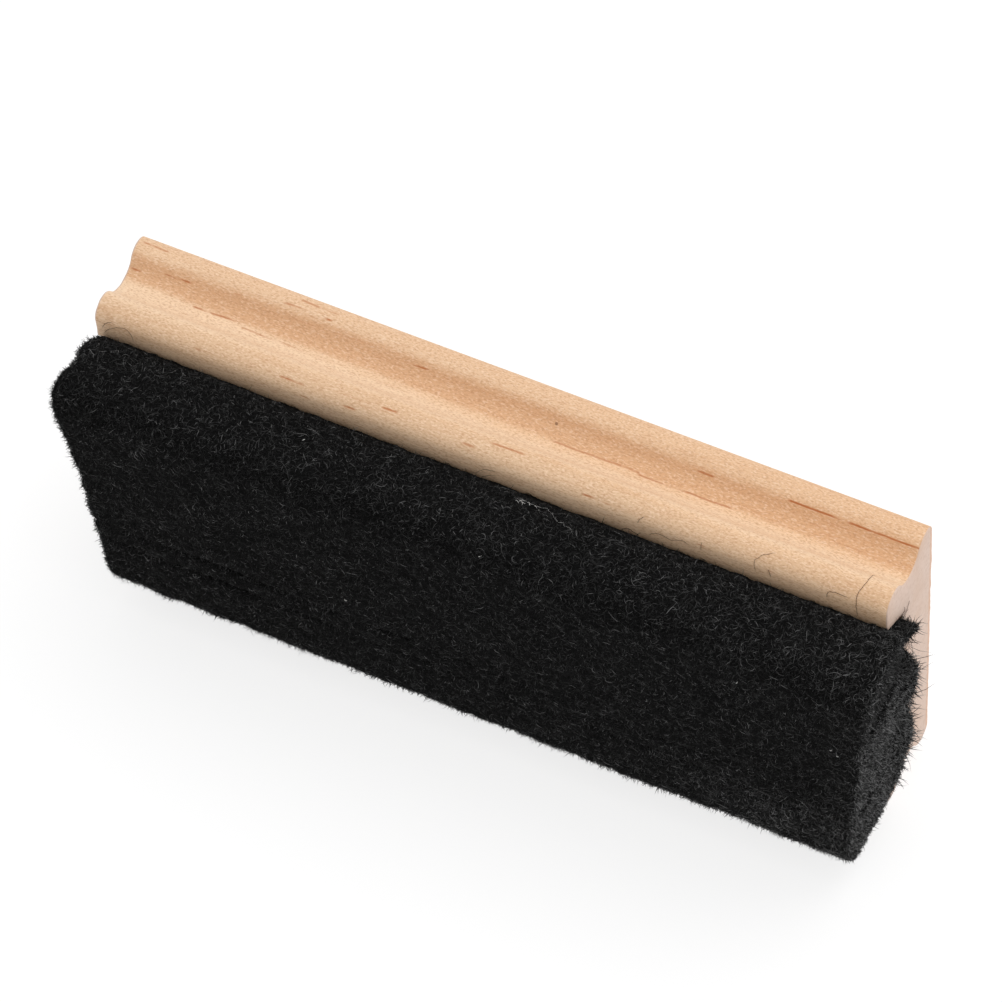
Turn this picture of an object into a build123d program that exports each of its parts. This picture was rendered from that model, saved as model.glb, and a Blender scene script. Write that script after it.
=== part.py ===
"""Chalkboard eraser: a pine moulding with a black wool felt pad glued into the channel of its underside.

Frame: +X runs along the eraser, +Y points out of the handle's crest, so the wiping face looks along -Y, and
+Z points out of one long side. The eraser stands on its other long side at Z = 0. Millimetres.

Every section is drawn from two measures: out, the distance from the handle's middle plane, positive towards
+Z, and deep, the distance in from the crest face towards the wiping face.
"""

import os
from math import acos, cos, pi, radians, sin

from build123d import *

# Overall size
LENGTH = 140.0  # the pine moulding
WIDTH = 60.0  # across the crest, and across the beads
DEPTH = 33.6  # crest face to wiping face
HALF = WIDTH / 2

# Handle section: on each side a shoulder, a finger cove and a bead, three arcs that run into one another
CREST_ROUND = 1.8
SHOULDER_DEEP = 2.4  # where the flat edge of the crest turns in
SHOULDER_ROUND = 3.0
SHOULDER_TURN = radians(60)
COVE_ROUND = 4.0
BEAD_ROUND = 2.9
LIP_INNER = 23.2
CHANNEL_DEEP = 11.2
CHANNEL_HALF = 19.6  # at the channel's floor; the lips lean outwards from there

# Centres of the cove and the bead, each tangent to the arc before it, with the bead as wide as the crest
COVE_CENTRE = (
    HALF - SHOULDER_ROUND + (SHOULDER_ROUND + COVE_ROUND) * cos(SHOULDER_TURN),
    SHOULDER_DEEP + (SHOULDER_ROUND + COVE_ROUND) * sin(SHOULDER_TURN),
)
BEAD_TURN = acos((COVE_CENTRE[0] - HALF + BEAD_ROUND) / (COVE_ROUND + BEAD_ROUND))
BEAD_CENTRE = (
    HALF - BEAD_ROUND,
    COVE_CENTRE[1] + (COVE_ROUND + BEAD_ROUND) * sin(BEAD_TURN),
)
LIP_DEEP = BEAD_CENTRE[1] + BEAD_ROUND  # underside of the two lips

# Felt pad
GLUE = 0.5  # hot-melt bed on the channel's floor
BED_INSET = 6.0  # the bed stops short of the handle's ends
FILM = 0.2  # glue film between the core and the wrap
FILM_INSET = 4.0  # the film stops short of the pad's ends
FELT_TOP = CHANNEL_DEEP + GLUE
WRAP_OUT = 27.1  # the wrap's outer side, below the lip
WRAP_THICK = 9.3  # on the wiping face
WRAP_INNER = WRAP_OUT - WRAP_THICK - 0.8  # a little thicker down the side, where it bulges
WRAP_END = -5.8  # the wrap's free edge on the wiping face
WRAP_ROUND = 5.0
TUCK_OUT = 19.2  # felt against a lip at the channel's floor
TUCK_INNER = 12.4
LIP_GAP = 0.2
CORE_STRIPS = 3
FAR_INNER_THICK = 4.4
FAR_OUT = -23.6  # the outer far layer's side, below the lip
FAR_ROUND = 4.0
JOINT_GAP = 0.1  # between neighbouring layers

# The pad's ends: the felt is cut by hand, so its left end is askew and its right end stands proud
LEFT_END = -69.6  # at WRAP_OUT
LEFT_SKEW = 0.11  # mm along the eraser for each mm across it
RIGHT_END = 73.3
RIGHT_SKEW = 0.049
CORE_RECESS = 0.4  # the core's ends sit back from the wrap's
CORE_GAP = 0.8  # loose space between the core and the side of the wrap

SHIFT = -(RIGHT_END - LENGTH / 2) / 2  # brings the middle of the whole eraser to X = 0


def at(out, deep):
    """A section point as (Y, Z)."""
    return DEPTH / 2 - deep, HALF + out


def along(section, left, right):
    """The solid that a closed section sweeps from X = left to X = right."""
    face = Plane.YZ.offset(left + SHIFT) * make_face(section)
    return extrude(face, amount=right - left, dir=(1, 0, 0))


def loop(points):
    """Straight edges round a closed section given as (out, deep) points."""
    corners = [at(out, deep) for out, deep in points]
    return Polyline(*corners, close=True)


def cut_ends(solid, inset=0.0):
    """Trims a felt solid to the pad's two slanted ends, less inset at each."""
    def end(base, skew, sign, out):
        return base + sign * skew * (WRAP_OUT - out) + SHIFT

    low, high = -HALF, HALF
    plan = Polyline(
        (end(LEFT_END + inset, LEFT_SKEW, 1, low), HALF + low),
        (end(LEFT_END + inset, LEFT_SKEW, 1, high), HALF + high),
        (end(RIGHT_END - inset, RIGHT_SKEW, -1, high), HALF + high),
        (end(RIGHT_END - inset, RIGHT_SKEW, -1, low), HALF + low),
        close=True,
    )
    block = extrude(Plane.XZ.offset(-DEPTH) * make_face(plan), amount=2 * DEPTH, dir=(0, -1, 0))
    return solid & block


def half_profile(side):
    """One side of the handle's section, from the crest's middle to the channel's middle."""
    def p(out, deep):
        return at(side * out, deep)

    def arc(centre, radius, start, end):
        """An arc between two angles, measured from the direction out of the side towards the wiping face."""
        angles = (start, (start + end) / 2, end)
        return ThreePointArc(*[
            p(centre[0] + radius * cos(a), centre[1] + radius * sin(a)) for a in angles
        ])

    crest = Line(p(0, 0), p(HALF - CREST_ROUND, 0))
    corner = arc((HALF - CREST_ROUND, CREST_ROUND), CREST_ROUND, -pi / 2, 0)
    edge = Line(p(HALF, CREST_ROUND), p(HALF, SHOULDER_DEEP))
    shoulder = arc((HALF - SHOULDER_ROUND, SHOULDER_DEEP), SHOULDER_ROUND, 0, SHOULDER_TURN)
    cove = arc(COVE_CENTRE, COVE_ROUND, pi + SHOULDER_TURN, pi - BEAD_TURN)
    bead = arc(BEAD_CENTRE, BEAD_ROUND, -BEAD_TURN, pi / 2)
    lip = Line(p(BEAD_CENTRE[0], LIP_DEEP), p(LIP_INNER, LIP_DEEP))
    wall = Line(p(LIP_INNER, LIP_DEEP), p(CHANNEL_HALF, CHANNEL_DEEP))
    floor = Line(p(CHANNEL_HALF, CHANNEL_DEEP), p(0, CHANNEL_DEEP))
    return crest + corner + edge + shoulder + cove + bead + lip + wall + floor


def handle():
    """The pine moulding: flat crest, a finger cove and a bead on each side, and a channel between two lips."""
    return along(half_profile(1) + half_profile(-1), -LENGTH / 2, LENGTH / 2)


def glue_bed():
    """Hot-melt glue over the channel's floor, which holds every felt layer by its edge."""
    rim = CHANNEL_HALF - 0.1
    section = loop([(-rim, CHANNEL_DEEP), (rim, CHANNEL_DEEP), (rim, FELT_TOP), (-rim, FELT_TOP)])
    return along(section, -LENGTH / 2 + BED_INSET, LENGTH / 2 - BED_INSET)


def felt_wrap():
    """The outer sheet: tucked behind one lip, down that side, and round on to the wiping face."""
    inner = WRAP_INNER
    bend = DEPTH - WRAP_THICK
    section = loop([
        (TUCK_OUT, FELT_TOP),
        (LIP_INNER - 0.45, LIP_DEEP + LIP_GAP),
        (LIP_INNER + 1.0, LIP_DEEP + LIP_GAP),
        (WRAP_OUT - 1.2, LIP_DEEP + 2.4),
        (WRAP_OUT, LIP_DEEP + 6.0),
        (WRAP_OUT, DEPTH),
        (WRAP_END, DEPTH),
        (WRAP_END, bend),
        (inner, bend),
        (inner, LIP_DEEP + 1.2),
        (TUCK_INNER, FELT_TOP + 1.3),
        (TUCK_INNER, FELT_TOP),
    ])
    sheet = along(section, -LENGTH, LENGTH)
    y, z = at(WRAP_OUT, DEPTH)
    corner = sheet.edges().filter_by(Axis.X).sort_by_distance((0, y, z))[0]
    return cut_ends(fillet(corner, WRAP_ROUND))


def core_strip(index):
    """One of the felt strips that stand on edge inside the wrap, counted from the wrapped side."""
    inner = WRAP_INNER - CORE_GAP
    pitch = (inner - WRAP_END) / CORE_STRIPS
    high, low = inner - index * pitch, inner - (index + 1) * pitch + JOINT_GAP
    bottom = DEPTH - WRAP_THICK - FILM
    if index:
        points = [(high, FELT_TOP), (high, bottom), (low, bottom), (low, FELT_TOP)]
    else:
        tuck = TUCK_INNER - CORE_GAP
        points = [
            (tuck, FELT_TOP),
            (tuck, FELT_TOP + 1.6),
            (high, LIP_DEEP + 1.6),
            (high, bottom),
            (low, bottom),
            (low, FELT_TOP),
        ]
    return cut_ends(along(loop(points), -LENGTH, LENGTH), inset=CORE_RECESS)


def wrap_glue():
    """Glue film that holds the wiping part of the wrap to the core strips."""
    inner = WRAP_INNER - JOINT_GAP
    low, high = DEPTH - WRAP_THICK - FILM, DEPTH - WRAP_THICK
    section = loop([(WRAP_END, low), (inner, low), (inner, high), (WRAP_END, high)])
    return cut_ends(along(section, -LENGTH, LENGTH), inset=FILM_INSET)


def felt_far_inner():
    """A thinner layer that stands on edge along the wrap's free edge."""
    high = WRAP_END - JOINT_GAP
    low = high - FAR_INNER_THICK
    section = loop([(high, FELT_TOP), (high, DEPTH), (low, DEPTH), (low, FELT_TOP)])
    return cut_ends(along(section, -LENGTH, LENGTH), inset=0.4)


def felt_far_outer():
    """The outermost layer on the resting side, tucked behind the second lip."""
    high = WRAP_END - 2 * JOINT_GAP - FAR_INNER_THICK
    section = loop([
        (high, FELT_TOP),
        (-TUCK_OUT, FELT_TOP),
        (-LIP_INNER + 0.45, LIP_DEEP + LIP_GAP),
        (FAR_OUT, LIP_DEEP + 1.2),
        (FAR_OUT, DEPTH),
        (high, DEPTH),
    ])
    layer = along(section, -LENGTH, LENGTH)
    y, z = at(FAR_OUT, DEPTH)
    corner = layer.edges().filter_by(Axis.X).sort_by_distance((0, y, z))[0]
    return cut_ends(fillet(corner, FAR_ROUND))


def main():
    nodes = {
        "handle": handle(),
        "glue_bed": glue_bed(),
        "felt_wrap": felt_wrap(),
        "wrap_glue": wrap_glue(),
        "felt_far_inner": felt_far_inner(),
        "felt_far_outer": felt_far_outer(),
    }
    for index in range(CORE_STRIPS):
        nodes[f"felt_core_{index + 1}"] = core_strip(index)
    os.makedirs("parts", exist_ok=True)
    for name, shape in nodes.items():
        export_step(shape, f"parts/{name}.step")


main()
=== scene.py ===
"""Looks for the chalkboard eraser: sanded pine, and a fuzzy black felt pad with its fibres.

Metres throughout, apart from tables that say they are in mm. The row frame has +X along the eraser, +Y out of
the handle's crest and +Z out of the long side that faces up.
"""

import math

import bmesh
import bpy
import numpy as np
from mathutils import Matrix, Vector
from mathutils.bvhtree import BVHTree


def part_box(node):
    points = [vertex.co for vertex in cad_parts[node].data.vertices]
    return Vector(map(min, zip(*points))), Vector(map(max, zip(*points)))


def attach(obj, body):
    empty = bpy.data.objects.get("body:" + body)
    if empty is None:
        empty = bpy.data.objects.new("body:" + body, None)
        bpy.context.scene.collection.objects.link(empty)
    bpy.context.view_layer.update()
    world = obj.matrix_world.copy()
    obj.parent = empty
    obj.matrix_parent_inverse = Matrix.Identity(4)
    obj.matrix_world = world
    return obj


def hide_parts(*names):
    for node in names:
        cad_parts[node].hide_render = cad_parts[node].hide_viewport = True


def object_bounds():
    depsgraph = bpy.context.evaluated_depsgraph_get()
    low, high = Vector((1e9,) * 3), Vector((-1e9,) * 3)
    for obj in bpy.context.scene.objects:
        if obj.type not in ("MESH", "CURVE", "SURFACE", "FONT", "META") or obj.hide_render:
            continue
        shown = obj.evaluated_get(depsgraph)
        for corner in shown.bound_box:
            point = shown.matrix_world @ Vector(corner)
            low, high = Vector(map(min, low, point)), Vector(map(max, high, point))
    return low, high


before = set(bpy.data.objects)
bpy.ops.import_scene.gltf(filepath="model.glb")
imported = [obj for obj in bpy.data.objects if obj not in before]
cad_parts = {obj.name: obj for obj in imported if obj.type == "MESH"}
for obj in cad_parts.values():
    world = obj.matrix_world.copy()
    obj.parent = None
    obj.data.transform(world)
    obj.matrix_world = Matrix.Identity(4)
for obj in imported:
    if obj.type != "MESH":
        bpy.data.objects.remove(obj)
cad_low, cad_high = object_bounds()
CENTRE = (cad_low + cad_high) / 2

MM = 0.001
SEED = 7
WELD = 0.002 * MM  # points of a CAD mesh nearer than this are one point

# Camera: the direction it looks from, its roll, and where its axis passes the eraser's middle
CAMERA_AZIMUTH = math.radians(30.3)
CAMERA_ELEVATION = math.radians(55.35)
CAMERA_ROLL = math.radians(-5.04)
CAMERA_DISTANCE = 0.8925
CAMERA_AIM = Vector((-3.4, 7.4, 5.6)) * MM
CAMERA_LENS = 197.6  # mm, on a 36 mm sensor

# Light
WORLD = 0.72
FLOOR_GLOW = 0.74  # keeps the shadow on the floor faint
# Softboxes: name, azimuth and elevation in degrees, distance, size and watts
LIGHTS = (
    ("overhead", 150, 68, 1.4, 1.1, 8),
    ("side_fill", 60, 30, 1.6, 0.9, 3),
)

# Pine
WOOD_EASE = 0.25 * MM  # sanded arris at the sawn ends
WOOD_STEP = 0.45 * MM  # spacing of the section's points
WOOD_STATION = 1.5 * MM  # spacing of the rings along the handle
SHORT_EDGE = 1.6 * MM  # edges of the section shorter than this belong to a curve
CORNER = math.radians(24)  # and a turn sharper than this is a corner
# Bands of painted shade (cove, under the bead) and painted highlight (bead) by depth from the crest, in mm:
# where each starts, is full, starts to fade, and ends
COVE_SHADE_BAND = (3.2, 5.2, 7.4, 8.6)
BEAD_HIGHLIGHT_BAND = (8.5, 10.0, 12.4, 14.2)
UNDER_SHADE_BAND = (13.2, 14.8, 16.6, 17.6)
# Resin lines on the side that faces up: depth from the crest, where each starts and ends along the eraser,
# in mm, and how dark it is
RESIN_LINES = (
    (1.9, -71, -65.5, 0.7),
    (5.8, -71.5, -69, 0.9),
    (5.1, -65.5, -60, 0.9),
    (4.6, -53, -51, 0.6),
    (8.0, -59, -49, 0.8),
    (8.6, -50, -38, 0.5),
    (3.3, -44.5, -35, 0.9),
    (1.8, -42, -34.5, 0.6),
    (16.8, -55, -52, 0.9),
    (16.2, -38.5, -33.5, 0.9),
    (17.3, -34.5, -32, 0.7),
    (16.9, -27, -24, 0.8),
    (15.4, -20.5, -17, 0.8),
    (5.0, -22.5, -17, 0.9),
    (16.1, -6, -3, 0.6),
    (14.5, -1.5, 5, 0.7),
    (16.8, 15.5, 21, 0.9),
    (8.1, 6, 22, 0.6),
    (8.4, 21, 38, 0.7),
    (5.1, 30, 33.5, 0.8),
    (4.7, 45.5, 69, 1.0),
    (17.3, 35.5, 42, 0.7),
    (17.3, 46.5, 49.5, 0.5),
)
RESIN_FADE = 0.8 * MM  # each line fades in and out over this length
KNOT = (5.8, 5.6, 0.28)  # a pin knot: along, depth from the crest, radius, in mm

# Felt
FELT_VOXEL = 0.5 * MM
FELT_NODES = (
    "felt_wrap",
    "felt_far_inner",
    "felt_far_outer",
    "felt_core_1",
    "felt_core_2",
    "felt_core_3",
)
END_ZONE = 12 * MM  # how far in from a cut end its swells and dips still show
LYING = 5.8  # matted fibres to a square millimetre
FUZZ = 5.6  # short hairs standing off it, to a square millimetre
COVERED = 2.5 * MM  # nothing grows where another piece is nearer than this
# Fibre lengths: the usual one, how widely they spread, the shortest and the longest, in mm but for the spread
LYING_LENGTH = (1.15, 0.45, 0.4, 3.2)
FUZZ_LENGTH = (0.47, 0.35, 0.22, 1.05)
CURL_STEPS = 5
CURL_BEND = 720  # how sharply a lying fibre bends, in radians per metre
# The share of fibres in each shade, from black to light
LYING_SHADES = (0.30, 0.36, 0.23, 0.09, 0.02)
FUZZ_SHADES = (0.42, 0.34, 0.18, 0.05, 0.01)
# How the cut ends swell and dip: which end, Y and Z of the middle, reach, and how far it stands out, in mm
END_SWELLS = (
    (1, 2.5, 36.5, 3.6, 1.7),
    (1, 2, 20, 4.0, 1.3),
    (1, 3.2, 43.2, 2.4, -6.2),
    (1, 0.4, 46.4, 2.3, -2.9),
    (1, 0.5, 51.5, 3.0, -1.4),
    (1, 1.0, 55.6, 1.8, -1.2),
    (1, -9, 51.5, 6.0, 0.4),
    (1, -7, 39, 5.0, 0.8),
    (1, -3, 13, 5.0, 0.7),
    (-1, -14, 57, 4.0, 0.4),
    (-1, 0, 57, 3.0, -1.0),
    (-1, -13, 33, 6.0, -1.0),
    (-1, -12, 15, 4.5, 0.5),
)
# Loose hairs on the bead, and a strand of lint below it: marks they pass through, each one how far along, out
# from the middle and deep from the crest it is, in mm
HAIRS = (
    (
        (-70.2, 24.6, 17.4), (-69.4, 26.0, 17.4), (-67.7, 27.4, 17.3),
        (-65.9, 28.0, 17.2), (-64.9, 27.1, 17.4), (-64.7, 25.2, 17.4),
    ),
    ((-70.4, 26.0, 17.4), (-69.7, 27.4, 17.3), (-68.4, 28.2, 17.2)),
    ((-3.1, 24.2, 17.4), (-1.4, 26.4, 17.4), (0.9, 27.0, 17.4)),
    ((22.6, 24.0, 17.4), (23.9, 25.0, 17.4), (25.9, 24.0, 17.4)),
    ((25.6, 27.4, 17.3), (25.9, 28.3, 17.1), (26.6, 28.9, 16.8)),
    (
        (27.4, 25.0, 17.4), (28.1, 26.2, 17.4), (29.6, 26.8, 17.4),
        (31.4, 26.1, 17.4), (33.4, 27.4, 17.3), (34.6, 26.6, 17.4),
    ),
    ((36.6, 26.6, 17.4), (36.6, 28.3, 17.1)),
    ((45.9, 26.5, 17.4), (45.6, 28.6, 16.9), (46.6, 29.5, 16.1), (48.4, 29.9, 15.2)),
    ((48.6, 26.4, 17.4), (48.1, 28.0, 17.2)),
    ((58.1, 26.4, 17.4), (58.2, 28.0, 17.2), (59.4, 28.3, 17.1), (61.6, 28.2, 17.1)),
    ((63.4, 24.5, 17.4), (63.1, 27.1, 17.4), (62.9, 29.3, 16.3), (63.6, 30.0, 14.6), (63.8, 28.2, 11.8)),
)
# Heights of the hairs that come out over the sawn end, in mm: thickest by its near corner
END_HAIRS = (51.2, 50.2, 49.1, 48.3, 47.2, 46.1, 45.3, 43.8, 42.9, 41.2, 38, 35.5, 31, 28, 22, 18.5, 13)
LINT_STRAND = (
    (5.1, 26.5, 20.5), (6.8, 26.5, 20.3), (8.6, 26.5, 20.5), (10.1, 26.5, 20.1), (11.6, 26.5, 20.2),
    (12.6, 26.6, 20.7), (14.3, 27.1, 22.0), (16.1, 27.1, 22.5), (17.6, 27.1, 23.5),
)
LINT_BITS = 9
# Where the white specks lie on the felt: X, Y and Z in mm
SPECKS = ((5, -16, 56), (-30, -8, 57), (50, -17, 50), (66, -17, 41), (67, -17, 40), (-20, -17, 30))
PIECE_FACES = 190000  # the most triangles in one fibre piece


# ---------------------------------------------------------------- numbers and noise


def lattice(cells, seed):
    """A random number from -1 to 1 for each whole-number cell."""
    c = cells.astype(np.int64)
    h = c[..., 0] * 374761393 + c[..., 1] * 668265263 + c[..., 2] * 2147483647 + seed * 974634777
    h = (h ^ (h >> 13)) * 1274126177
    h = (h ^ (h >> 16)) & 0xFFFFFF
    return h / 0x7FFFFF - 1.0


def noise(points, scale, seed):
    """Smooth value noise from -1 to 1, with features about scale across (a number, or one for each axis)."""
    p = points / np.asarray(scale, float)
    base = np.floor(p)
    f = p - base
    f = f * f * (3 - 2 * f)
    total = np.zeros(len(points))
    for corner in np.ndindex(2, 2, 2):
        k = np.array(corner)
        weight = np.prod(np.where(k, f, 1 - f), axis=1)
        total += weight * lattice(base + k, seed)
    return total


def rise(value, start, span):
    """0 up to start, then up to 1 over span."""
    return np.clip((value - start) / span, 0, 1)


def fall(value, end, span):
    """1 at first, then down over span to 0 at end."""
    return np.clip((end - value) / span, 0, 1)


def placed(name, data):
    """A new object for some data, in the scene."""
    obj = bpy.data.objects.new(name, data)
    bpy.context.scene.collection.objects.link(obj)
    return obj


def mesh_object(name, points, faces):
    mesh = bpy.data.meshes.new(name)
    mesh.from_pydata([tuple(p) for p in points], [], faces)
    mesh.update()
    mesh.polygons.foreach_set("use_smooth", [True] * len(mesh.polygons))
    return placed(name, mesh)


def triangle_mesh(name, points, triangles, material_index):
    """A mesh from arrays, for the many small faces of the fibres."""
    mesh = bpy.data.meshes.new(name)
    mesh.vertices.add(len(points))
    mesh.vertices.foreach_set("co", np.asarray(points, np.float32).ravel())
    count = len(triangles)
    mesh.loops.add(count * 3)
    mesh.loops.foreach_set("vertex_index", np.asarray(triangles, np.int32).ravel())
    mesh.polygons.add(count)
    mesh.polygons.foreach_set("loop_start", np.arange(0, count * 3, 3, dtype=np.int32))
    mesh.polygons.foreach_set("use_smooth", np.ones(count, bool))
    mesh.polygons.foreach_set("material_index", np.asarray(material_index, np.int32))
    mesh.update(calc_edges=True)
    mesh.validate()
    return placed(name, mesh)


def at_vertices(mesh, what):
    """What each vertex of a mesh has, its "co" or its "normal", as rows of three numbers."""
    values = np.zeros(len(mesh.vertices) * 3, np.float32)
    mesh.vertices.foreach_get(what, values)
    return values.reshape(-1, 3).astype(float)


def move_vertices(mesh, points):
    mesh.vertices.foreach_set("co", points.astype(np.float32).ravel())
    mesh.update()


def triangles_of(mesh):
    """A mesh's faces as rows of three vertex numbers."""
    mesh.calc_loop_triangles()
    corners = np.zeros(len(mesh.loop_triangles) * 3, np.int32)
    mesh.loop_triangles.foreach_get("vertices", corners)
    return corners.reshape(-1, 3)


# ---------------------------------------------------------------- shader helpers


class Shader:
    """A short way to wire a node material."""

    def __init__(self, name):
        self.material = bpy.data.materials.new(name)
        self.material.use_nodes = True
        self.nodes = self.material.node_tree.nodes
        self.links = self.material.node_tree.links
        self.bsdf = self.nodes["Principled BSDF"]

    def node(self, kind, inputs=None, **settings):
        n = self.nodes.new(kind)
        for key, value in settings.items():
            setattr(n, key, value)
        for key, value in (inputs or {}).items():
            self.put(n.inputs[key], value)
        return n

    def put(self, socket, value):
        if isinstance(value, bpy.types.NodeSocket):
            self.links.new(value, socket)
        else:
            socket.default_value = value

    def math(self, operation, *values):
        n = self.node("ShaderNodeMath", operation=operation)
        for i, value in enumerate(values):
            self.put(n.inputs[i], value)
        return n.outputs[0]

    def mix(self, factor, a, b):
        n = self.node("ShaderNodeMix", data_type="RGBA")
        self.put(n.inputs[0], factor)
        self.put(n.inputs[6], a)
        self.put(n.inputs[7], b)
        return n.outputs[2]

    def ramp(self, value, low, high):
        """0 at low, 1 at high, smooth between."""
        n = self.node("ShaderNodeMapRange", interpolation_type="SMOOTHSTEP", clamp=True)
        self.put(n.inputs["Value"], value)
        n.inputs["From Min"].default_value = low
        n.inputs["From Max"].default_value = high
        return n.outputs["Result"]

    def tint(self, colour, mask, strength, towards):
        """A colour moved towards another, by strength where the mask is 1."""
        return self.mix(self.math("MULTIPLY", mask, strength), colour, towards)

    def gap(self, coords, place):
        """How far coords are from a place."""
        n = self.node("ShaderNodeVectorMath", operation="DISTANCE")
        self.put(n.inputs[0], coords)
        n.inputs[1].default_value = place
        return n.outputs["Value"]

    def pattern(self, coords, scale, detail=2.0, offset=(0, 0, 0), rough=0.5):
        """Noise of the object's own coordinates; scale is features per metre along each axis."""
        m = self.node("ShaderNodeMapping", {"Vector": coords, "Scale": scale, "Location": offset})
        n = self.node(
            "ShaderNodeTexNoise",
            {"Vector": m.outputs[0], "Scale": 1.0, "Detail": detail, "Roughness": rough},
        )
        return n.outputs["Fac"]

    def bump(self, height, strength, distance):
        n = self.node("ShaderNodeBump", {"Height": height, "Strength": strength, "Distance": distance})
        return n.outputs[0]


def srgb(r, g, b):
    """A colour given as it shows on a screen, 0 to 255, as the shader's linear values."""
    def lin(c):
        c /= 255
        return c / 12.92 if c <= 0.04045 else ((c + 0.055) / 1.055) ** 2.4

    return lin(r), lin(g), lin(b), 1.0


# ---------------------------------------------------------------- materials


def crossings(loop, axis, value):
    """Where a closed outline crosses a value on one axis: the other coordinate of each crossing."""
    other = 1 - axis
    for a, b in zip(loop, np.roll(loop, -1, 0)):
        if (a[axis] - value) * (b[axis] - value) <= 0 and a[axis] != b[axis]:
            yield a[other] + (b[other] - a[other]) * (value - a[axis]) / (b[axis] - a[axis])


def near_side(loop, deep):
    """The point of the handle's section on the side that faces up, deep in from the crest."""
    y = loop[:, 0].max() - deep
    return y, max(CENTRE.z, *crossings(loop, 0, y))


def channel_edge(loop, z):
    """The Y of the channel's edge in the handle's section, at the height z."""
    return min(loop[:, 0].max(), *crossings(loop, 1, z))


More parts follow.
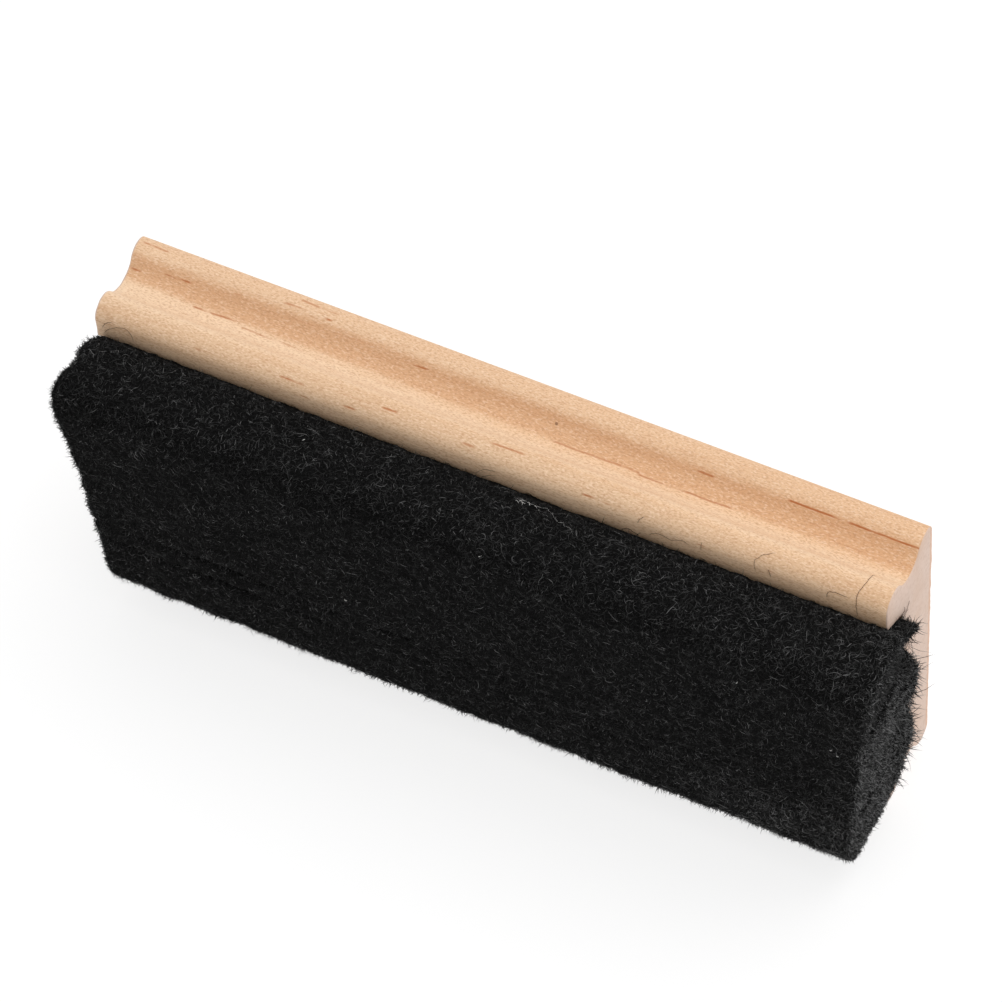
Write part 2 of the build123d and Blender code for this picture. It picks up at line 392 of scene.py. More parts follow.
def pine(loop):
    s = Shader("pine")
    coords = s.node("ShaderNodeTexCoord").outputs["Object"]
    place = s.node("ShaderNodeSeparateXYZ", {"Vector": coords})
    # broad growth bands, long along the grain, and a warmer right end
    band = s.pattern(coords, (7, 170, 130), 2.0)
    colour = s.mix(s.ramp(band, 0.35, 0.66), PINE_PALE, PINE_TAN)
    warm = s.math("MULTIPLY", s.ramp(place.outputs["X"], -0.05, 0.07), 0.35)
    colour = s.mix(warm, colour, PINE_WARM)
    # painted shade in the coves on both sides
    out = s.math("ABSOLUTE", s.math("SUBTRACT", place.outputs["Z"], CENTRE.z))
    deep = s.math("SUBTRACT", float(loop[:, 0].max()), place.outputs["Y"])
    sway = s.math("MULTIPLY", s.math("SUBTRACT", s.pattern(coords, (14, 60, 60), 2.0, (1, 3, 5)), 0.5), 0.004)
    deep_here = s.math("ADD", deep, sway)
    start, full, fade, end = (mark * MM for mark in COVE_SHADE_BAND)
    cove_shade = s.math("MULTIPLY", s.ramp(deep_here, start, full), s.ramp(deep_here, end, fade))
    cove_shade = s.math("MULTIPLY", cove_shade, s.ramp(out, 0.020, 0.024))
    colour = s.tint(colour, cove_shade, 0.62, PINE_COVE_SHADE)
    # painted shade near the crest
    colour = s.tint(colour, s.ramp(deep_here, 0.0050, 0.0030), 0.5, PINE_CREST_SHADE)
    # painted highlight on the bead, which faces the light
    start, full, fade, end = (mark * MM for mark in BEAD_HIGHLIGHT_BAND)
    bead = s.math("MULTIPLY", s.ramp(deep_here, start, full), s.ramp(deep_here, end, fade))
    colour = s.tint(colour, bead, 0.5, PINE_BEAD_HIGHLIGHT)
    # painted shade under the bead, where it turns down away from the light; the lip's edge is straight, so
    # the band ends without the sway
    start, full, fade, end = (mark * MM for mark in UNDER_SHADE_BAND)
    under = s.math("MULTIPLY", s.ramp(deep_here, start, full), s.ramp(deep, end, fade))
    colour = s.tint(colour, under, 0.5, PINE_UNDER_SHADE)
    # sanded fleck: fine and only a little longer than wide, dark and pale
    fleck = s.pattern(coords, (1900, 4600, 4600), 2.0)
    colour = s.tint(colour, s.ramp(fleck, 0.45, 0.68), 0.52, srgb(184, 134, 94))
    pale = s.pattern(coords, (1700, 4200, 4200), 2.0, (7, 5, 1))
    colour = s.tint(colour, s.ramp(pale, 0.48, 0.70), 0.45, srgb(250, 222, 194))
    fibre = s.pattern(coords, (110, 1900, 1900), 3.0, (3, 1, 2))
    colour = s.tint(colour, s.ramp(fibre, 0.48, 0.72), 0.14, srgb(196, 142, 100))
    # resin canals: a few short thin dashes in loose groups, and the long lines
    dash = s.pattern(coords, (120, 2300, 2300), 1.0, (11, 4, 9), 0.3)
    group = s.pattern(coords, (22, 160, 160), 1.0, (2, 8, 5))
    dash = s.math("MULTIPLY", s.ramp(dash, 0.675, 0.71), s.ramp(group, 0.54, 0.62))
    fewer = s.math("MULTIPLY", s.ramp(out, 0.019, 0.023), 0.62)
    dash = s.math("MULTIPLY", dash, s.math("SUBTRACT", 0.8, fewer))
    wander = s.pattern(coords, (70, 0.01, 0.01), 2.0, (4, 2, 7))
    drift = s.math("MULTIPLY", s.math("SUBTRACT", wander, 0.5), 0.0011)
    drifted = s.math("ADD", place.outputs["Y"], drift)
    flat = s.node("ShaderNodeCombineXYZ", {"Y": drifted, "Z": place.outputs["Z"]}).outputs[0]
    broken = s.ramp(s.pattern(coords, (230, 800, 800), 2.0, (8, 1, 3)), 0.36, 0.56)
    for depth, start, end, strength in RESIN_LINES:
        gap = s.gap(flat, (0, *near_side(loop, depth * MM)))
        line = s.ramp(gap, 0.00025, 0.00008)
        line = s.math("MULTIPLY", line, s.ramp(place.outputs["X"], start * MM, start * MM + RESIN_FADE))
        line = s.math("MULTIPLY", line, s.ramp(place.outputs["X"], end * MM, end * MM - RESIN_FADE))
        dash = s.math("MAXIMUM", dash, s.math("MULTIPLY", line, s.math("MULTIPLY", broken, strength)))
    colour = s.tint(colour, dash, 0.9, srgb(176, 98, 42))
    along, depth, radius = (value * MM for value in KNOT)
    knot = s.ramp(s.gap(coords, (along, *near_side(loop, depth))), radius * 1.3, radius * 0.6)
    colour = s.tint(colour, knot, 0.75, srgb(120, 84, 58))
    # the sawn and sanded ends: smooth end grain, paler and pinker
    end_fleck = s.pattern(coords, (1600, 1600, 1600), 3.0)
    end_cloud = s.pattern(coords, (110, 110, 110), 2.0)
    end = s.mix(s.ramp(end_fleck, 0.4, 0.8), srgb(214, 190, 175), srgb(202, 175, 158))
    end = s.tint(end, s.ramp(end_cloud, 0.4, 0.7), 0.5, srgb(207, 176, 154))
    low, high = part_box("handle")
    half = (high.x - low.x) / 2
    from_middle = s.math("ABSOLUTE", s.math("SUBTRACT", place.outputs["X"], (low.x + high.x) / 2))
    at_end = s.ramp(from_middle, half - 1.1 * WOOD_EASE, half - 0.75 * WOOD_EASE)
    end = s.tint(end, s.ramp(deep, 0.0012, 0.0003), 0.45, srgb(214, 152, 100))
    colour = s.mix(at_end, colour, end)
    s.put(s.bsdf.inputs["Base Color"], colour)
    rough = s.node("ShaderNodeMapRange", {"Value": fibre, "To Min": 0.55, "To Max": 0.75})
    s.put(s.bsdf.inputs["Roughness"], rough.outputs["Result"])
    s.bsdf.inputs["Specular IOR Level"].default_value = 0.3
    relief = s.math("ADD", s.math("MULTIPLY", fibre, 0.5), s.math("MULTIPLY", fleck, 0.5))
    relief = s.math("SUBTRACT", relief, s.math("MULTIPLY", dash, 0.5))
    s.put(s.bsdf.inputs["Normal"], s.bump(relief, 0.3, 0.0001))
    return s.material


def felt_body(name, dark, light):
    s = Shader(name)
    coords = s.node("ShaderNodeTexCoord").outputs["Object"]
    cloud = s.pattern(coords, (90, 90, 90), 3.0)
    matted = s.pattern(coords, (2400, 2400, 2400), 3.0, rough=0.7)
    fac = s.math("MULTIPLY", s.ramp(matted, 0.45, 0.75), s.ramp(cloud, 0.3, 0.7))
    s.put(s.bsdf.inputs["Base Color"], s.mix(fac, dark, light))
    s.bsdf.inputs["Roughness"].default_value = 1.0
    s.bsdf.inputs["Specular IOR Level"].default_value = 0.05
    s.put(s.bsdf.inputs["Normal"], s.bump(matted, 0.8, 0.0002))
    return s.material


def plain(name, colour, roughness, specular=0.25):
    s = Shader(name)
    s.bsdf.inputs["Base Color"].default_value = colour
    s.bsdf.inputs["Roughness"].default_value = roughness
    s.bsdf.inputs["Specular IOR Level"].default_value = specular
    return s.material


def glue():
    s = Shader("hot_melt")
    coords = s.node("ShaderNodeTexCoord").outputs["Object"]
    cloud = s.pattern(coords, (300, 300, 300), 3.0)
    s.put(s.bsdf.inputs["Base Color"], s.mix(cloud, srgb(214, 190, 140), srgb(236, 222, 186)))
    s.bsdf.inputs["Roughness"].default_value = 0.35
    s.put(s.bsdf.inputs["Normal"], s.bump(cloud, 0.4, 0.0003))
    return s.material


PINE_PALE, PINE_TAN = srgb(238, 208, 175), srgb(229, 192, 155)
# the cove, crest and under colours are painted shade, and the bead colour is a painted highlight
PINE_WARM, PINE_COVE_SHADE = srgb(231, 184, 138), srgb(206, 152, 106)
PINE_CREST_SHADE, PINE_BEAD_HIGHLIGHT, PINE_UNDER_SHADE = srgb(219, 172, 131), srgb(240, 214, 184), srgb(206, 168, 132)
FELT = felt_body("felt", srgb(14, 14, 14), srgb(30, 30, 30))
FELT_CUT = felt_body("felt_cut_edge", srgb(10, 10, 10), srgb(22, 22, 22))
GLUE = glue()
FIBRES = [
    plain("fibre_black", srgb(20, 20, 20), 0.8, 0.1),
    plain("fibre_dark", srgb(36, 36, 36), 0.8, 0.15),
    plain("fibre_mid", srgb(58, 58, 58), 0.75, 0.2),
    plain("fibre_grey", srgb(86, 86, 86), 0.7, 0.2),
    plain("fibre_light", srgb(126, 126, 126), 0.7, 0.2),
]
HAIR = plain("stray_hair", srgb(84, 56, 42), 0.6)
LINT = plain("lint", srgb(228, 228, 225), 0.8)


def add_materials(obj, *materials):
    for m in materials:
        obj.data.materials.append(m)


# ---------------------------------------------------------------- the pine handle


def end_loop(node):
    """The closed outline of a node's section, as (Y, Z) points in order, read from its right end."""
    bm = bmesh.new()
    bm.from_mesh(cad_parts[node].data)
    bmesh.ops.remove_doubles(bm, verts=bm.verts, dist=WELD)
    bm.normal_update()
    middle = sum(v.co.x for v in bm.verts) / len(bm.verts)
    caps = {f for f in bm.faces if f.normal.x > 0.9 and f.calc_center_median().x > middle}
    rim = [e for e in bm.edges if sum(f in caps for f in e.link_faces) == 1]
    near = {}
    for e in rim:
        for a, b in (e.verts, reversed(e.verts)):
            near.setdefault(a, []).append(b)
    start = rim[0].verts[0]
    path, last, here = [start], None, start
    while True:
        step = next(v for v in near[here] if v is not last)
        if step is start:
            break
        path.append(step)
        last, here = here, step
    points = np.array([(v.co.y, v.co.z) for v in path])
    bm.free()
    return points


def refine(loop, step):
    """More points on a closed outline: straight on its long runs, and rounded where short ones bend."""
    n = len(loop)
    ahead = np.roll(loop, -1, 0) - loop
    length = np.linalg.norm(ahead, axis=1)
    unit = ahead / length[:, None]
    last = np.roll(unit, 1, 0)
    turn = np.abs(np.arctan2(last[:, 0] * unit[:, 1] - last[:, 1] * unit[:, 0], (last * unit).sum(1)))
    points = []
    for i in range(n):
        a, b = loop[i], loop[(i + 1) % n]
        before, after = unit[i - 1], unit[(i + 1) % n]
        bends = length[i] < SHORT_EDGE
        ta, tb = unit[i], unit[i]
        if bends and turn[i] < CORNER and length[i - 1] < SHORT_EDGE:
            ta = before + unit[i]
        if bends and turn[(i + 1) % n] < CORNER and length[(i + 1) % n] < SHORT_EDGE:
            tb = after + unit[i]
        ta, tb = ta / np.linalg.norm(ta) * length[i], tb / np.linalg.norm(tb) * length[i]
        count = max(1, round(length[i] / step))
        for k in range(count):
            t = k / count
            h = (2 * t**3 - 3 * t**2 + 1, t**3 - 2 * t**2 + t, 3 * t**2 - 2 * t**3, t**3 - t**2)
            points.append(h[0] * a + h[1] * ta + h[2] * b + h[3] * tb)
    return np.array(points)


def inward(loop):
    """The unit direction into the outline at each of its points."""
    ahead = np.roll(loop, -1, 0) - np.roll(loop, 1, 0)
    side = np.stack([-ahead[:, 1], ahead[:, 0]], 1)
    side /= np.linalg.norm(side, axis=1)[:, None]
    y, z = loop.T
    area = (y * np.roll(z, -1) - np.roll(y, -1) * z).sum()
    return side * np.sign(area)


def build_handle():
    low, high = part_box("handle")
    outline = end_loop("handle")
    loop = refine(outline, WOOD_STEP)
    into = inward(loop)
    count = len(loop)
    # each sawn end turns over on a small, uneven quarter round
    turns = [math.radians(a) for a in (90, 60, 30, 0)]
    stations = [(WOOD_EASE * (1 - math.sin(a)), WOOD_EASE * (1 - math.cos(a))) for a in turns]
    straight = high.x - low.x - 2 * WOOD_EASE
    inner = max(2, round(straight / WOOD_STATION))
    rings = [(low.x + dx, inset, -1) for dx, inset in stations]
    for i in range(1, inner):
        rings.append((low.x + WOOD_EASE + straight * i / inner, 0.0, 0))
    rings += [(high.x - dx, inset, 1) for dx, inset in reversed(stations)]
    points = []
    for x, inset, end in rings:
        ring = np.column_stack([np.full(count, x), loop])
        if end:
            wear = 1 + 0.55 * noise(ring, 2.4 * MM, 11 + end) + 0.35 * noise(ring, 0.9 * MM, 21 + end)
            ring[:, 1:] += into * (inset * np.clip(wear, 0.3, 2.2))[:, None]
            depth = high.x - x if end > 0 else x - low.x
            ring[:, 0] += -end * (WOOD_EASE - depth) * np.clip(wear - 1, -0.4, 1.0) * 0.25
        points.append(ring)
    points = np.concatenate(points)
    faces = []
    for r in range(len(rings) - 1):
        for i in range(count):
            j = (i + 1) % count
            faces.append((r * count + i, r * count + j, (r + 1) * count + j, (r + 1) * count + i))
    faces.append(tuple(range(count)))
    faces.append(tuple(reversed(range((len(rings) - 1) * count, len(rings) * count))))
    obj = mesh_object("pine_handle", points, faces)
    bm = bmesh.new()
    bm.from_mesh(obj.data)
    bmesh.ops.recalc_face_normals(bm, faces=bm.faces)
    caps = [f for f in bm.faces if len(f.verts) > 4]
    for f in caps:
        f.smooth = False
    bmesh.ops.triangulate(bm, faces=caps)
    bm.to_mesh(obj.data)
    bm.free()
    obj.data.set_sharp_from_angle(angle=math.radians(38))
    add_materials(obj, pine(outline))
    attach(obj, "root")
    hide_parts("handle")
    return obj


# ---------------------------------------------------------------- the felt layers


def remeshed(node, voxel):
    """An even, dense copy of a CAD solid."""
    copy = placed("work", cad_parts[node].data.copy())
    bm = bmesh.new()
    bm.from_mesh(copy.data)
    bmesh.ops.remove_doubles(bm, verts=bm.verts, dist=WELD)
    bm.to_mesh(copy.data)
    bm.free()
    m = copy.modifiers.new("remesh", "REMESH")
    m.mode = "VOXEL"
    m.voxel_size = voxel
    m.use_smooth_shade = True
    evaluated = copy.evaluated_get(bpy.context.evaluated_depsgraph_get())
    made = bpy.data.meshes.new_from_object(evaluated)
    bpy.data.objects.remove(copy)
    made.materials.clear()
    return made


def relax(points, edges, rounds, share=0.5):
    """Evens a mesh out, which also rounds its edges."""
    a, b = edges.T
    count = np.bincount(a, minlength=len(points)) + np.bincount(b, minlength=len(points))
    for _ in range(rounds):
        total = np.zeros_like(points)
        for axis in range(3):
            from_b = np.bincount(a, points[b, axis], len(points))
            total[:, axis] = from_b + np.bincount(b, points[a, axis], len(points))
        points = points + share * (total / count[:, None] - points)
    return points


def crevice(points):
    """How deep in the crevice between the wrap and the core, which opens at the right end: 0 to 1."""
    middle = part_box("felt_core_1")[1].z + 0.5 * MM * noise(points * (0, 1, 0), 3 * MM, 12)
    # it turns the corner with the wrap near the wiping face
    middle = middle - 0.9 * np.clip(cad_low.y + 6.5 * MM - points[:, 1], 0, None)
    near = np.exp(-(((points[:, 2] - middle) / (1.2 * MM)) ** 2))
    near *= rise(points[:, 1] - cad_low.y, 1.5 * MM, 2 * MM)
    return near * np.clip(1 - (cad_high.x - points[:, 0]) / (9 * MM), 0, 1)


def seam_pull(points):
    """How far the surface sinks in along the seams, which show on the wiping face and most at the left."""
    apart = np.zeros(len(points))
    for seam in (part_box("felt_wrap")[0].z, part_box("felt_far_inner")[0].z):
        drift = 0.5 * MM * noise(points * (1, 0, 0), 11 * MM, 8)
        apart = np.maximum(apart, np.exp(-(((points[:, 2] - seam + drift) / (0.75 * MM)) ** 2)))
    uneven = 0.6 + 0.4 * noise(points * (1, 0, 0), 14 * MM, 9)
    towards = fall(points[:, 0], 0.012, 0.05) * uneven
    return 0.4 * MM * apart * towards * fall(points[:, 1], cad_low.y + 2.0 * MM, MM)


def build_felt(node, material, slot):
    """A felt layer: soft edges, a lumpy matted surface, and ragged cut ends."""
    mesh = remeshed(node, FELT_VOXEL)
    edges = np.zeros(len(mesh.edges) * 2, np.int32)
    mesh.edges.foreach_get("vertices", edges)
    points = relax(at_vertices(mesh, "co"), edges.reshape(-1, 2), 3)
    move_vertices(mesh, points)
    normal = at_vertices(mesh, "normal")
    low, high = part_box(node)
    lip_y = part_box("handle")[0].y
    # free of the wood: 0 in the channel and by the lips, 1 a couple of millimetres away
    free = fall(points[:, 1], lip_y - 0.6 * MM, 1.8 * MM)
    push = (
        0.12 * noise(points, 8 * MM, 1) * free
        + 0.13 * noise(points, 3.2 * MM, 2) * np.maximum(free, 0.3)
        + 0.16 * noise(points, 1.3 * MM, 3)
        + 0.10 * noise(points, 0.7 * MM, 6)
    ) * MM
    reach = np.minimum(points[:, 0] - low.x, high.x - points[:, 0])
    at_end = np.clip(1 - reach / END_ZONE, 0, 1)
    points = points + normal * (push - seam_pull(points))[:, None]
    ragged = 0.35 * noise(points, (40 * MM, 5 * MM, 5 * MM), 4)
    ragged = ragged + 0.35 * noise(points, (40 * MM, 1.6 * MM, 1.6 * MM), 5)
    points[:, 0] += at_end * ragged * MM
    points[:, 0] -= 2.3 * MM * crevice(points)
    for end, y, z, spread, swell in END_SWELLS:
        off = np.hypot(points[:, 1] - y * MM, points[:, 2] - z * MM) / (spread * MM)
        inside = high.x - points[:, 0] if end > 0 else points[:, 0] - low.x
        side = np.clip(1 - inside / END_ZONE, 0, 1)
        points[:, 0] += end * swell * MM * side * np.exp(-(off**2))
    move_vertices(mesh, points)
    obj = placed(node + "_cloth", mesh)
    add_materials(obj, material)
    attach(obj, "root")
    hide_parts(node)
    return obj


# ---------------------------------------------------------------- fibres


def tree_of(objects):
    """One BVH over several meshes, in the row frame."""
    points, triangles, base = [], [], 0
    for obj in objects:
        points.append(at_vertices(obj.data, "co"))
        triangles.append(triangles_of(obj.data) + base)
        base += len(obj.data.vertices)
    points, triangles = np.concatenate(points), np.concatenate(triangles)
    return BVHTree.FromPolygons(points.tolist(), triangles.tolist(), all_triangles=True)


def roundness(facing):
    """1 on rounded edges and 0 on flat sides, from how far a normal points along each axis."""
    return fall(facing.max(axis=1), 0.95, 0.12)


def cut_face(out):
    """1 on the cut ends and 0 on the long faces."""
    return rise(np.abs(out[:, 0]), 0.5, 0.3)


def scatter(obj, density, rng, blockers, clear, edges=0.0, ends=0.0):
    """Points and normals, so many to a square millimetre, over the part of a piece that nothing covers.

    edges and ends say how many times more there are on rounded edges and on the cut ends.
    """
    t = triangles_of(obj.data)
    p = at_vertices(obj.data, "co")
    a, b, c = p[t[:, 0]], p[t[:, 1]], p[t[:, 2]]
    cross = np.cross(b - a, c - a)
    size = np.linalg.norm(cross, axis=1)
    facing = np.abs(cross / size[:, None])
    share = 1 + edges * roundness(facing)
    share += ends * rise(facing[:, 0], 0.4, 0.3)
    share *= size
    count = round(share.sum() / 2 / MM**2 * density)
    pick = rng.choice(len(t), count, p=share / share.sum())
    u, v = rng.random((2, count, 1))
    flip = u + v > 1
    u, v = np.where(flip, 1 - u, u), np.where(flip, 1 - v, v)
    at = a[pick] + u * (b - a)[pick] + v * (c - a)[pick]
    out = cross[pick] / size[pick][:, None]
    keep = [
        blockers.ray_cast(Vector(q + n * 0.12 * MM), Vector(n), clear)[0] is None
        for q, n in zip(at, out)
    ]
    return at[keep], out[keep]


def lengths(rng, usual, spread, shortest, longest, count):
    """Random lengths in metres, from limits in mm."""
    return np.clip(rng.lognormal(math.log(usual), spread, count), shortest, longest) * MM


def curl(at, out, rng, length, lift, surface):
    """Curly paths over a surface from the given points: paths by CURL_STEPS + 1 points by 3."""
    count = len(at)
    side = np.cross(out, rng.normal(size=(count, 3)))
    side /= np.linalg.norm(side, axis=1)[:, None]
    other = np.cross(out, side)
    angle = np.zeros(count)
    turn = rng.normal(0, CURL_BEND, count)
    here = at.copy()
    flat = [here.copy()]
    for _ in range(CURL_STEPS):
        turn = turn + rng.normal(0, CURL_BEND * 0.6, count)
        turn = np.clip(turn, -2.6 * CURL_BEND, 2.6 * CURL_BEND)
        angle = angle + turn * length / CURL_STEPS
        ahead = np.cos(angle)[:, None] * side + np.sin(angle)[:, None] * other
        here = here + (length / CURL_STEPS)[:, None] * ahead
        flat.append(here.copy())
    flat = np.stack(flat, 1)
    along = np.linspace(0, 1, CURL_STEPS + 1)
    hump = np.sin(math.pi * along[None, :] ** rng.uniform(0.6, 1.3, (count, 1)))
    height = lift[:, None] * hump + rng.uniform(-0.03, 0.08, (count, CURL_STEPS + 1)) * MM
    normal = np.empty_like(flat)
    for place in np.ndindex(count, CURL_STEPS + 1):
        flat[place], normal[place], _, _ = surface.find_nearest(Vector(flat[place]))
    return flat + normal * height[..., None]


def tubes(paths, radius):
    """Three-sided tubes that taper to a point at both ends. radius is one number for each path."""
    count, size, _ = paths.shape
    ahead = np.empty_like(paths)
    ahead[:, 1:-1] = paths[:, 2:] - paths[:, :-2]
    ahead[:, 0], ahead[:, -1] = paths[:, 1] - paths[:, 0], paths[:, -1] - paths[:, -2]
    ahead /= np.linalg.norm(ahead, axis=2, keepdims=True) + 1e-12
    helper = np.where(np.abs(ahead[..., 2:]) < 0.8, (0.0, 0.0, 1.0), (1.0, 0.0, 0.0))
    side = np.cross(ahead, helper)
    side /= np.linalg.norm(side, axis=2, keepdims=True) + 1e-12
    other = np.cross(ahead, side)
    rings = []
    taper = np.ones(size)
    taper[1], taper[-2] = 0.9, 0.7
    for k in range(3):
        a = 2 * math.pi * k / 3
        offset = (math.cos(a) * side + math.sin(a) * other) * (radius[:, None] * taper[None])[..., None]
        rings.append((paths + offset)[:, 1:-1])
    rings = np.stack(rings, 2).reshape(count, (size - 2) * 3, 3)
    points = np.concatenate([rings, paths[:, :1], paths[:, -1:]], axis=1)
    per = (size - 2) * 3
    faces = []
    for r in range(size - 3):
        for k in range(3):
            j = (k + 1) % 3
            a, b, c, d = r * 3 + k, r * 3 + j, (r + 1) * 3 + j, (r + 1) * 3 + k
            faces += [(a, b, c), (a, c, d)]
    for k in range(3):
        j = (k + 1) % 3
        faces.append((per, j, k))
        faces.append((per + 1, (size - 3) * 3 + k, (size - 3) * 3 + j))
    faces = np.array(faces)
    triangles = (faces[None] + (np.arange(count) * (per + 2))[:, None, None]).reshape(-1, 3)
    return points.reshape(-1, 3), triangles, len(faces)


def fibre_piece(name, paths, radius, shade, materials):
    """Tubes as one or more pieces, none of them over the most triangles a piece may have."""
    faces_each = (paths.shape[1] - 3) * 6 + 6
    limit = PIECE_FACES // faces_each
    for part, start in enumerate(range(0, len(paths), limit)):
        cut = slice(start, start + limit)
        points, triangles, faces = tubes(paths[cut], radius[cut])
        obj = triangle_mesh(f"{name}_{part + 1}", points, triangles, np.repeat(shade[cut], faces))
        add_materials(obj, *materials)
        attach(obj, "root")


def lay_fibres(cloth, rng, blockers, surface):
    """Curly fibres matted on the surface, which also bridge the seams."""
    at, out = scatter(cloth, LYING, rng, blockers, COVERED)
    count = len(at)
    length = lengths(rng, *LYING_LENGTH, count)
    lift = rng.uniform(0.02, 0.20, count) * MM
    paths = curl(at, out, rng, length, lift, surface)
    shade = pick_shades(at, out, rng, LYING_SHADES)
    radius = rng.uniform(0.028, 0.046, count) * MM
    node = cloth.name.removesuffix("_cloth")
    fibre_piece(f"{node}_fibres", paths, radius, shade, FIBRES)


def stand_fuzz(cloth, rng, blockers):
    """Short hairs standing off the felt, which make its soft outline."""
    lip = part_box("handle")[0].y
    at, out = scatter(cloth, FUZZ, rng, blockers, COVERED, edges=1.6, ends=2.0)
    count = len(at)
    lean = out + rng.normal(0, 0.55, (count, 3))
    # the wrap's edge is pressed under the lip, so only a few hairs get out over the wood there
    by_lip = (np.abs(at[:, 1] - lip) < 1.8 * MM) & (at[:, 2] > CENTRE.z + 22 * MM)
    free = by_lip & (rng.random(count) < 0.05)
    lean[free] += (0, 0.5, 0.7)
    lean /= np.linalg.norm(lean, axis=1)[:, None]
    length = lengths(rng, *FUZZ_LENGTH, count)
    length *= 1 + 0.3 * roundness(np.abs(out))
    length[by_lip] *= 0.5
    length[free] *= 3.0
    # one in ten is long at the right end's top edge, over the sawn wood
    loose = (at[:, 0] > cad_high.x - 3 * MM) & (at[:, 1] > lip) & (rng.random(count) < 0.10)
    length[loose] *= 3.0
    steps = np.linspace(0, 1, 4)[None, :, None]
    sway = np.cross(lean, rng.normal(size=(count, 3)))
    bent = steps * lean[:, None] + 0.45 * steps**2 * sway[:, None]
    paths = at[:, None] + length[:, None, None] * bent
    shade = pick_shades(at, out, rng, FUZZ_SHADES)
    radius = rng.uniform(0.034, 0.060, count) * (1 + 0.35 * cut_face(out)) * MM
    node = cloth.name.removesuffix("_cloth")
    fibre_piece(f"{node}_fuzz", paths, radius, shade, FIBRES)


def grow_fibres(cloths, wood):
    rng = np.random.default_rng(SEED)
    blockers = tree_of([*cloths, wood])
    surface = tree_of(cloths)
    for cloth in cloths:
        lay_fibres(cloth, rng, blockers, surface)
        stand_fuzz(cloth, rng, blockers)


def pick_shades(at, out, rng, chances):
    """A shade for each fibre. The cut ends, and the right end as a whole, are a little lighter; on the cut
    ends that is painted light.
    """
    x, z = at[:, 0], at[:, 2]
    shade = rng.choice(len(FIBRES), len(at), p=chances)
    cut = cut_face(out)
    core = fall(z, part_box("felt_core_1")[1].z, 2 * MM)
    lighter = (
        # painted light on the cut ends, which catch more light
        0.55 * cut
        + 0.20 * rise(x, 0, 60 * MM)
        + 0.9 * (1 - cut) * fall(z, 25 * MM, 6 * MM) * rise(x, 25 * MM, 30 * MM)
        # painted light on the faces that look up
        + 0.08 * rise(out[:, 2], 0.4, 0.3)
        + 0.45 * (1 - cut) * rise(x, 62 * MM, 9 * MM)
        # painted shade on the wiping face, which faces away from the light
        - 0.42 * rise(-out[:, 1], 0.5, 0.3)
    )
    change = np.floor(lighter + rng.random(len(at))).astype(int)
    # the core's cut fibres are light and dark by turns, and painted shade darkens the crevice
    change += 2 * (rng.random(len(at)) < 0.42 * cut * core)
    change -= 3 * (rng.random(len(at)) < 1.4 * crevice(at + (0, 0, 1.3 * MM)))
    return np.clip(shade + change, 0, len(FIBRES) - 1)


def drawn(surface, marks, height, wander, rng, steps=16):
    """A hair on a surface through marks, each one how far along, out and deep it is, in mm."""
    along, out, deep = np.array(marks, float).T
    points = np.column_stack([along * MM, cad_high.y - deep * MM, CENTRE.z + out * MM])
    run = np.append(0, np.cumsum(np.linalg.norm(np.diff(points, axis=0), axis=1)))
    places = np.linspace(0, run[-1], 4 * steps + 1)
    line = np.column_stack([np.interp(places, run, axis) for axis in points.T])
    for _ in range(12):
        line[1:-1] = (line[:-2] + 2 * line[1:-1] + line[2:]) / 4
    path = []
    for point in line[::4]:
        hit, normal, _, _ = surface.find_nearest(Vector(point + rng.normal(0, wander, 3)))
        path.append(hit + normal * height)
    return path


def laid(surface, start, heading, length, bend, height, rng, steps=16):
    """A hair that lies on a surface: from start, off towards heading, wandering as it goes."""
    step = length / steps
    hit, normal, _, _ = surface.find_nearest(Vector(start))
    heading = Vector(heading).normalized()
    turn = rng.normal(0, bend)
    path = [hit + normal * height * 0.3]
    for k in range(steps):
        turn = float(np.clip(turn + rng.normal(0, bend * 0.55), -2.2 * bend, 2.2 * bend))
        heading = (heading - heading.dot(normal) * normal).normalized()
        heading = Matrix.Rotation(turn * step, 3, normal) @ heading
        hit, normal, _, _ = surface.find_nearest(hit + heading * step)
        path.append(hit + normal * height * (0.3 + 0.7 * math.sin(math.pi * (k + 1) / steps)))
    return path


def stray_hairs(surface, rng):
    """Loose dark hairs from the felt, on the bead and over the sawn end."""
    section = end_loop("handle")
    end_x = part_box("handle")[1].x
    paths = [drawn(surface, marks, 0.08 * MM, 0.04 * MM, rng) for marks in HAIRS]
    roots = []
    for z in END_HAIRS:
        at = (end_x, channel_edge(section, z * MM) + 0.1 * MM, z * MM)
        shorter = 0.5 if z < 40 else 1
        heading = (0, 1, rng.normal(0, 0.8))
        roots.append((at, heading, shorter * rng.uniform(1.6, 4.2) * MM, rng.uniform(300, 800)))
    paths += [laid(surface, *root, 0.12 * MM, rng) for root in roots]
    radius = rng.uniform(0.028, 0.040, len(paths)) * MM
    fibre_piece("stray_hairs", np.array(paths), radius, np.zeros(len(paths), int), [HAIR])


def white_lint(surface, rng):
    """A loose strand of lint under the lip, with bits on it, and a few specks on the felt."""
    paths = [drawn(surface, LINT_STRAND, 0.25 * MM, 0.20 * MM, rng)]
    for along in rng.uniform(4.5, 11.5, LINT_BITS):
        at = (along * MM, cad_high.y - rng.uniform(20.0, 20.8) * MM, 0.0566)
        heading = (1, 0.4 * rng.normal(), 0)
        paths.append(laid(surface, at, heading, rng.uniform(0.4, 1.0) * MM, 900, 0.3 * MM, rng))
    for x, y, z in SPECKS:
        paths.append(laid(surface, (x * MM, y * MM, z * MM), (1, 0.2, 0.3), 0.55 * MM, 1500, 0.3 * MM, rng))
    radius = np.array([0.013] + [0.034] * LINT_BITS + [0.05] * len(SPECKS)) * MM
    fibre_piece("lint", np.array(paths), radius, np.zeros(len(paths), int), [LINT])


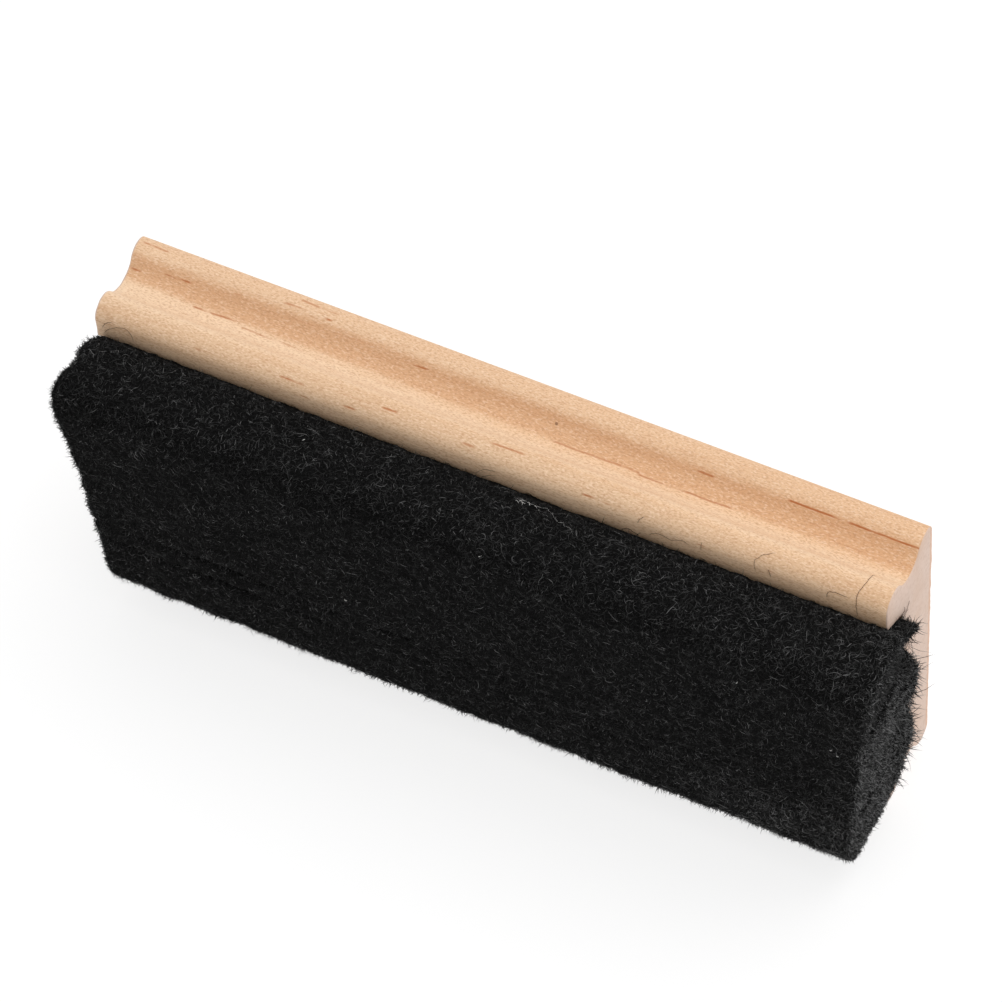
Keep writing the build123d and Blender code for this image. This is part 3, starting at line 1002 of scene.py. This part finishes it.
def add_loose_bits(cloths, wood):
    rng = np.random.default_rng(SEED + 3)
    surface = tree_of([*cloths, wood])
    stray_hairs(surface, rng)
    white_lint(surface, rng)


# ---------------------------------------------------------------- the scene


def show_glue():
    for node in ("glue_bed", "wrap_glue"):
        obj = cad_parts[node]
        obj.data.materials.clear()
        obj.data.materials.append(GLUE)


def direction(azimuth, elevation):
    """The unit vector from the eraser towards a place around it, 0 azimuth being along -Y."""
    return Vector((
        math.sin(azimuth) * math.cos(elevation),
        -math.cos(azimuth) * math.cos(elevation),
        math.sin(elevation),
    ))


def stage_and_light():
    bpy.ops.mesh.primitive_plane_add(size=6, location=(0, 0, 0))
    floor = bpy.context.object
    floor.name = "floor"
    paper = plain("pale_floor", (0.30, 0.30, 0.30, 1), 0.9, 0.1)
    glow = paper.node_tree.nodes["Principled BSDF"]
    glow.inputs["Emission Color"].default_value = (1, 1, 1, 1)
    glow.inputs["Emission Strength"].default_value = FLOOR_GLOW
    add_materials(floor, paper)
    world = bpy.data.worlds.new("studio")
    bpy.context.scene.world = world
    world.use_nodes = True
    world.node_tree.nodes["Background"].inputs["Color"].default_value = (1, 1, 1, 1)
    world.node_tree.nodes["Background"].inputs["Strength"].default_value = WORLD

    for name, azimuth, elevation, distance, size, watts in LIGHTS:
        light = bpy.data.lights.new(name, "AREA")
        light.shape = "SQUARE"
        light.size = size
        light.energy = watts
        obj = placed(name, light)
        offset = direction(math.radians(azimuth), math.radians(elevation))
        obj.location = CENTRE + offset * distance
        obj.rotation_euler = (-offset).to_track_quat("-Z", "Y").to_euler()


def add_camera():
    back = direction(CAMERA_AZIMUTH, CAMERA_ELEVATION)
    data = bpy.data.cameras.new("camera")
    data.lens = CAMERA_LENS
    data.sensor_width = 36
    camera = placed("camera", data)
    turn = (-back).to_track_quat("-Z", "Y").to_matrix().to_4x4()
    place = Matrix.Translation(CENTRE + CAMERA_AIM + back * CAMERA_DISTANCE)
    camera.matrix_world = place @ turn @ Matrix.Rotation(CAMERA_ROLL, 4, "Z")
    bpy.context.scene.camera = camera


def main():
    bpy.context.scene.view_settings.view_transform = "Standard"
    wood = build_handle()
    cloths = []
    for node in FELT_NODES:
        material, slot = (FELT_CUT, "felt_core") if "core" in node else (FELT, "felt")
        cloths.append(build_felt(node, material, slot))
    grow_fibres(cloths, wood)
    add_loose_bits(cloths, wood)
    show_glue()
    stage_and_light()
    add_camera()


main()
